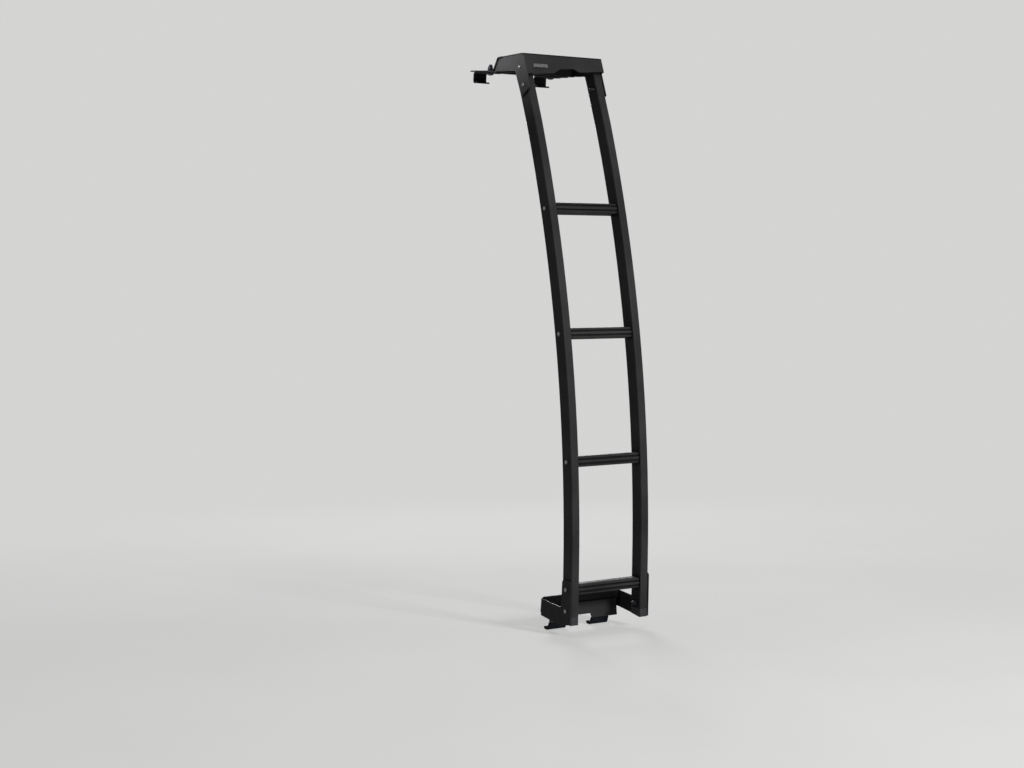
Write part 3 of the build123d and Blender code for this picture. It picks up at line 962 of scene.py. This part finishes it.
@dataclass(frozen=True)
class ClampBolts(Fasteners):
    """Larger bolts that draw the clamps up to the roof plate, with cap nuts above and dome heads below.

    The front top and the heel are the two ends of the plate's slanted front in the side view.
    """

    x: float = 0.100
    y: float = 0.247
    slope: float = 5.8
    front_top: Pair = (0.1605, 1.4353)
    heel: Pair = (0.1825, 1.40315)
    sheet: float = 0.003
    clamp_sheet: float = 0.004
    nut_spin: float = 12.0
    nut: CapNut = CapNut(across_flats=0.013, height=0.0165, hexagon=0.0070, washer_radius=0.0085,
                         washer=0.0018)
    head: Dome = Dome(radius=0.0100, height=0.0048, rim=0.0014)

    def build(self) -> list[bpy.types.Object]:
        """Model the nut and the head once and copy them to both clamps.

        Returns:
            The nuts and heads.
        """
        nut = self.nut.model("clamp_nut_master")
        head = self.head.model("clamp_head_master")
        Bench.smooth(nut)
        Bench.smooth(head)
        top = Matrix.Translation((0, 0, self.sheet / 2))
        bottom = Matrix.Translation((0, 0, -self.sheet / 2 - self.clamp_sheet))
        pieces = []
        for side in Side:
            centre = Matrix.Translation((side.value * self.x, self.y, self.sheet_height()))
            middle = centre @ turned(self.slope, "X")
            above = middle @ top @ turned(self.nut_spin * side.value, "Z")
            pieces.append(Bench.copy(nut, f"clamp_nut_{side.word}", above))
            below = middle @ bottom @ turned(180.0, "X")
            pieces.append(Bench.copy(head, f"clamp_head_{side.word}", below))
        Bench.scrap(nut)
        Bench.scrap(head)
        return pieces

    def sheet_height(self) -> float:
        """Find the height of the middle of the roof plate's forward sheet at the bolts.

        Returns:
            The height in metres.
        """
        low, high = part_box("roof_plate")
        assert low.y < self.y < high.y, "the clamp bolts miss the roof plate"
        heel = Vector(self.heel)
        slant = (heel - Vector(self.front_top)).normalized()
        heel += Vector((-slant.y, slant.x)) * self.sheet / 2
        return heel.y + (self.y - heel.x) * math.tan(math.radians(self.slope))


@dataclass(frozen=True)
class Finishes:
    """Materials of the ladder, and which CAD node gets which."""

    coat: PowderCoat = PowderCoat("rail_powder_coat")
    tread: PowderCoat = PowderCoat("rung_powder_coat", faded=(0.027, 0.027, 0.0276), dust_share=0.14,
                                   wear=0.8)
    # Sheets take painted shade along their edges
    sheet: PowderCoat = PowderCoat("sheet_powder_coat", wear=0.2, edge_shade=0.85)
    # Darker copy of the same coat: painted shade on the roof plate
    roof: PowderCoat = PowderCoat("roof_plate_painted_shade_coat", colour=(0.0055, 0.0056, 0.0062),
                                  faded=(0.0095, 0.0096, 0.0103), rubbed=(0.018, 0.018, 0.019),
                                  dust_share=0.10, wear=0.3)
    plastic: MouldedPlastic = MouldedPlastic("rail_end_plastic")
    rubber: Rubber = Rubber("hook_and_pad_rubber")
    plate: DarkSteel = DarkSteel("blank_plate_steel", colour=(0.10, 0.10, 0.104),
                                 dulled=(0.055, 0.055, 0.056), brushing=(1500.0, 60.0, 1500.0),
                                 metallic=0.75)

    def finish_of(self, name: str, slot: Slot) -> PowderCoat | MouldedPlastic | Rubber | DarkSteel:
        """Choose the finish of a CAD node.

        Args:
            name: Name of the node.
            slot: Its slot in the record.

        Returns:
            The finish.
        """
        if slot is not Slot.COAT:
            return {Slot.PLASTIC: self.plastic, Slot.RUBBER: self.rubber, Slot.STEEL: self.plate}[slot]
        # The roof plate takes the darker coat of painted shade
        if name == "roof_plate":
            return self.roof
        if name.startswith("rung_"):
            return self.tread
        return self.coat if name.startswith("rail_") else self.sheet

    def dress(self, nodes: dict[str, bpy.types.Object], record: dict) -> None:
        """Give every CAD node its finish.

        Args:
            nodes: CAD nodes by name.
            record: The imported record, which holds each node's slot.
        """
        slots = {row["node"]: Slot(row["material_slot"]) for row in record["subparts"]}
        made = {}
        for name, node in sorted(nodes.items()):
            finish = self.finish_of(name, slots[name])
            if finish not in made:
                made[finish] = finish.make()
            node.data.materials.clear()
            node.data.materials.append(made[finish])
            LOG.info("%s: %s", name, finish.name)


# Studio

@dataclass(frozen=True)
class Lamp:
    """Soft square lamp with an opening angle in degrees, aimed at a point of the ladder."""

    name: str
    place: Triple
    target: Triple
    size: float
    power: float
    spread: float = 180.0

    def build(self) -> None:
        """Add the lamp."""
        data = bpy.data.lights.new(self.name, "AREA")
        data.shape = "SQUARE"
        data.size = self.size
        data.energy = self.power
        data.spread = math.radians(self.spread)
        lamp = bpy.data.objects.new(self.name, data)
        lamp.location = self.place
        lamp.rotation_euler = (Vector(self.target) - Vector(self.place)).to_track_quat("-Z", "Y").to_euler()
        bpy.context.collection.objects.link(lamp)


@dataclass(frozen=True)
class Studio:
    """Pale floor and background, soft lamps and the camera."""

    pale: Colour = (0.66, 0.66, 0.655)
    fill: float = 0.075
    floor_gap: float = 0.001
    floor_size: float = 60.0
    floor_shade: float = 0.97
    fade: Pair = (1.0, 3.4)
    glow: float = 0.6
    lamps: tuple[Lamp, ...] = (
        Lamp("key_lamp", place=(0.6, -5.1, 2.2), target=(0.0, 0.08, 0.68), size=0.9, power=330.0),
        Lamp("top_lamp", place=(-0.3, -0.4, 4.6), target=(0.0, 0.08, 0.68), size=3.4, power=45.0),
        Lamp("side_lamp", place=(-3.2, 0.13, 1.50), target=(-0.13, 0.14, 1.47), size=0.2, power=0.74,
             spread=5.2),
        Lamp("door_side_lamp", place=(2.4, 4.4, 2.3), target=(0.0, 0.08, 0.72), size=1.6, power=230.0),
    )
    sensor: float = 36.0
    lens: float = 66.895
    eye: Triple = (-2.99726, -4.01826, 0.80066)
    right: Triple = (0.82139, -0.570288, -0.009579)
    up: Triple = (0.033514, 0.031491, 0.998943)
    back: Triple = (-0.569383, -0.820842, 0.044979)

    def build(self) -> None:
        """Build the floor, the background, the lamps and the camera."""
        self.build_floor()
        self.build_world()
        for lamp in self.lamps:
            lamp.build()
        self.build_camera()
        bpy.context.scene.view_settings.view_transform = "Standard"

    def build_floor(self) -> None:
        """Lay a wide pale floor that fades into the background."""
        Bench.clear()
        level = CAD_BOX[0].z - self.floor_gap
        bpy.ops.mesh.primitive_plane_add(size=self.floor_size, location=(0, 0, level))
        floor = bpy.context.object
        floor.name = "floor"
        graph = Graph(bpy.data.materials.new("pale_floor"))
        shaded = tuple(value * self.floor_shade for value in self.pale)
        tint = graph.mix(graph.spread(graph.noise(scale=1.2, detail=3.0)), self.pale, shaded)
        matte = graph.add("BsdfDiffuse")
        graph.link(tint, matte.inputs["Color"])
        plain = graph.add("Emission", {"Strength": 1.0})
        graph.link(tint, plain.inputs["Color"])
        lit = graph.blend(graph.times(graph.shown(), self.glow), matte, plain)
        place = graph.add("TexCoord")
        far = graph.add("VectorMath", operation="LENGTH")
        graph.link(place.outputs["Object"], far.inputs[0])
        faded = graph.ramp(far.outputs["Value"], *self.fade)
        graph.end(graph.blend(faded, lit, graph.add("BsdfTransparent")))
        floor.data.materials.append(graph.owner)

    def build_world(self) -> None:
        """Make the background pale to the eye and in reflections, and a soft fill light elsewhere."""
        world = bpy.data.worlds.new("studio")
        bpy.context.scene.world = world
        graph = Graph(world)
        light = graph.add("Background", {"Color": (1.0, 1.0, 1.0, 1.0), "Strength": self.fill})
        pale = graph.add("Background", {"Color": (*self.pale, 1.0), "Strength": 1.0})
        graph.end(graph.blend(graph.shown(), light, pale), kind="OutputWorld")

    def build_camera(self) -> None:
        """Set the camera at the photograph's place, angle and lens."""
        data = bpy.data.cameras.new("camera")
        data.sensor_width = self.sensor
        data.sensor_fit = "HORIZONTAL"
        data.lens = self.lens
        camera = bpy.data.objects.new("camera", data)
        turn = Matrix((self.right, self.up, self.back)).transposed().to_4x4()
        camera.matrix_world = Matrix.Translation(self.eye) @ turn
        bpy.context.collection.objects.link(camera)
        bpy.context.scene.camera = camera


def main() -> None:
    """Dress the CAD nodes, add the bolts and set up the studio."""
    logging.basicConfig(level=logging.INFO, format="%(name)s: %(message)s")
    Finishes().dress(frame["nodes"], frame["record"])
    steels = {steel: steel.value.make() for steel in Steel}
    RailBolts(RailLine()).dress(steels)
    ClampBolts().dress(steels)
    Studio().build()


if __name__ == "__main__":
    main()
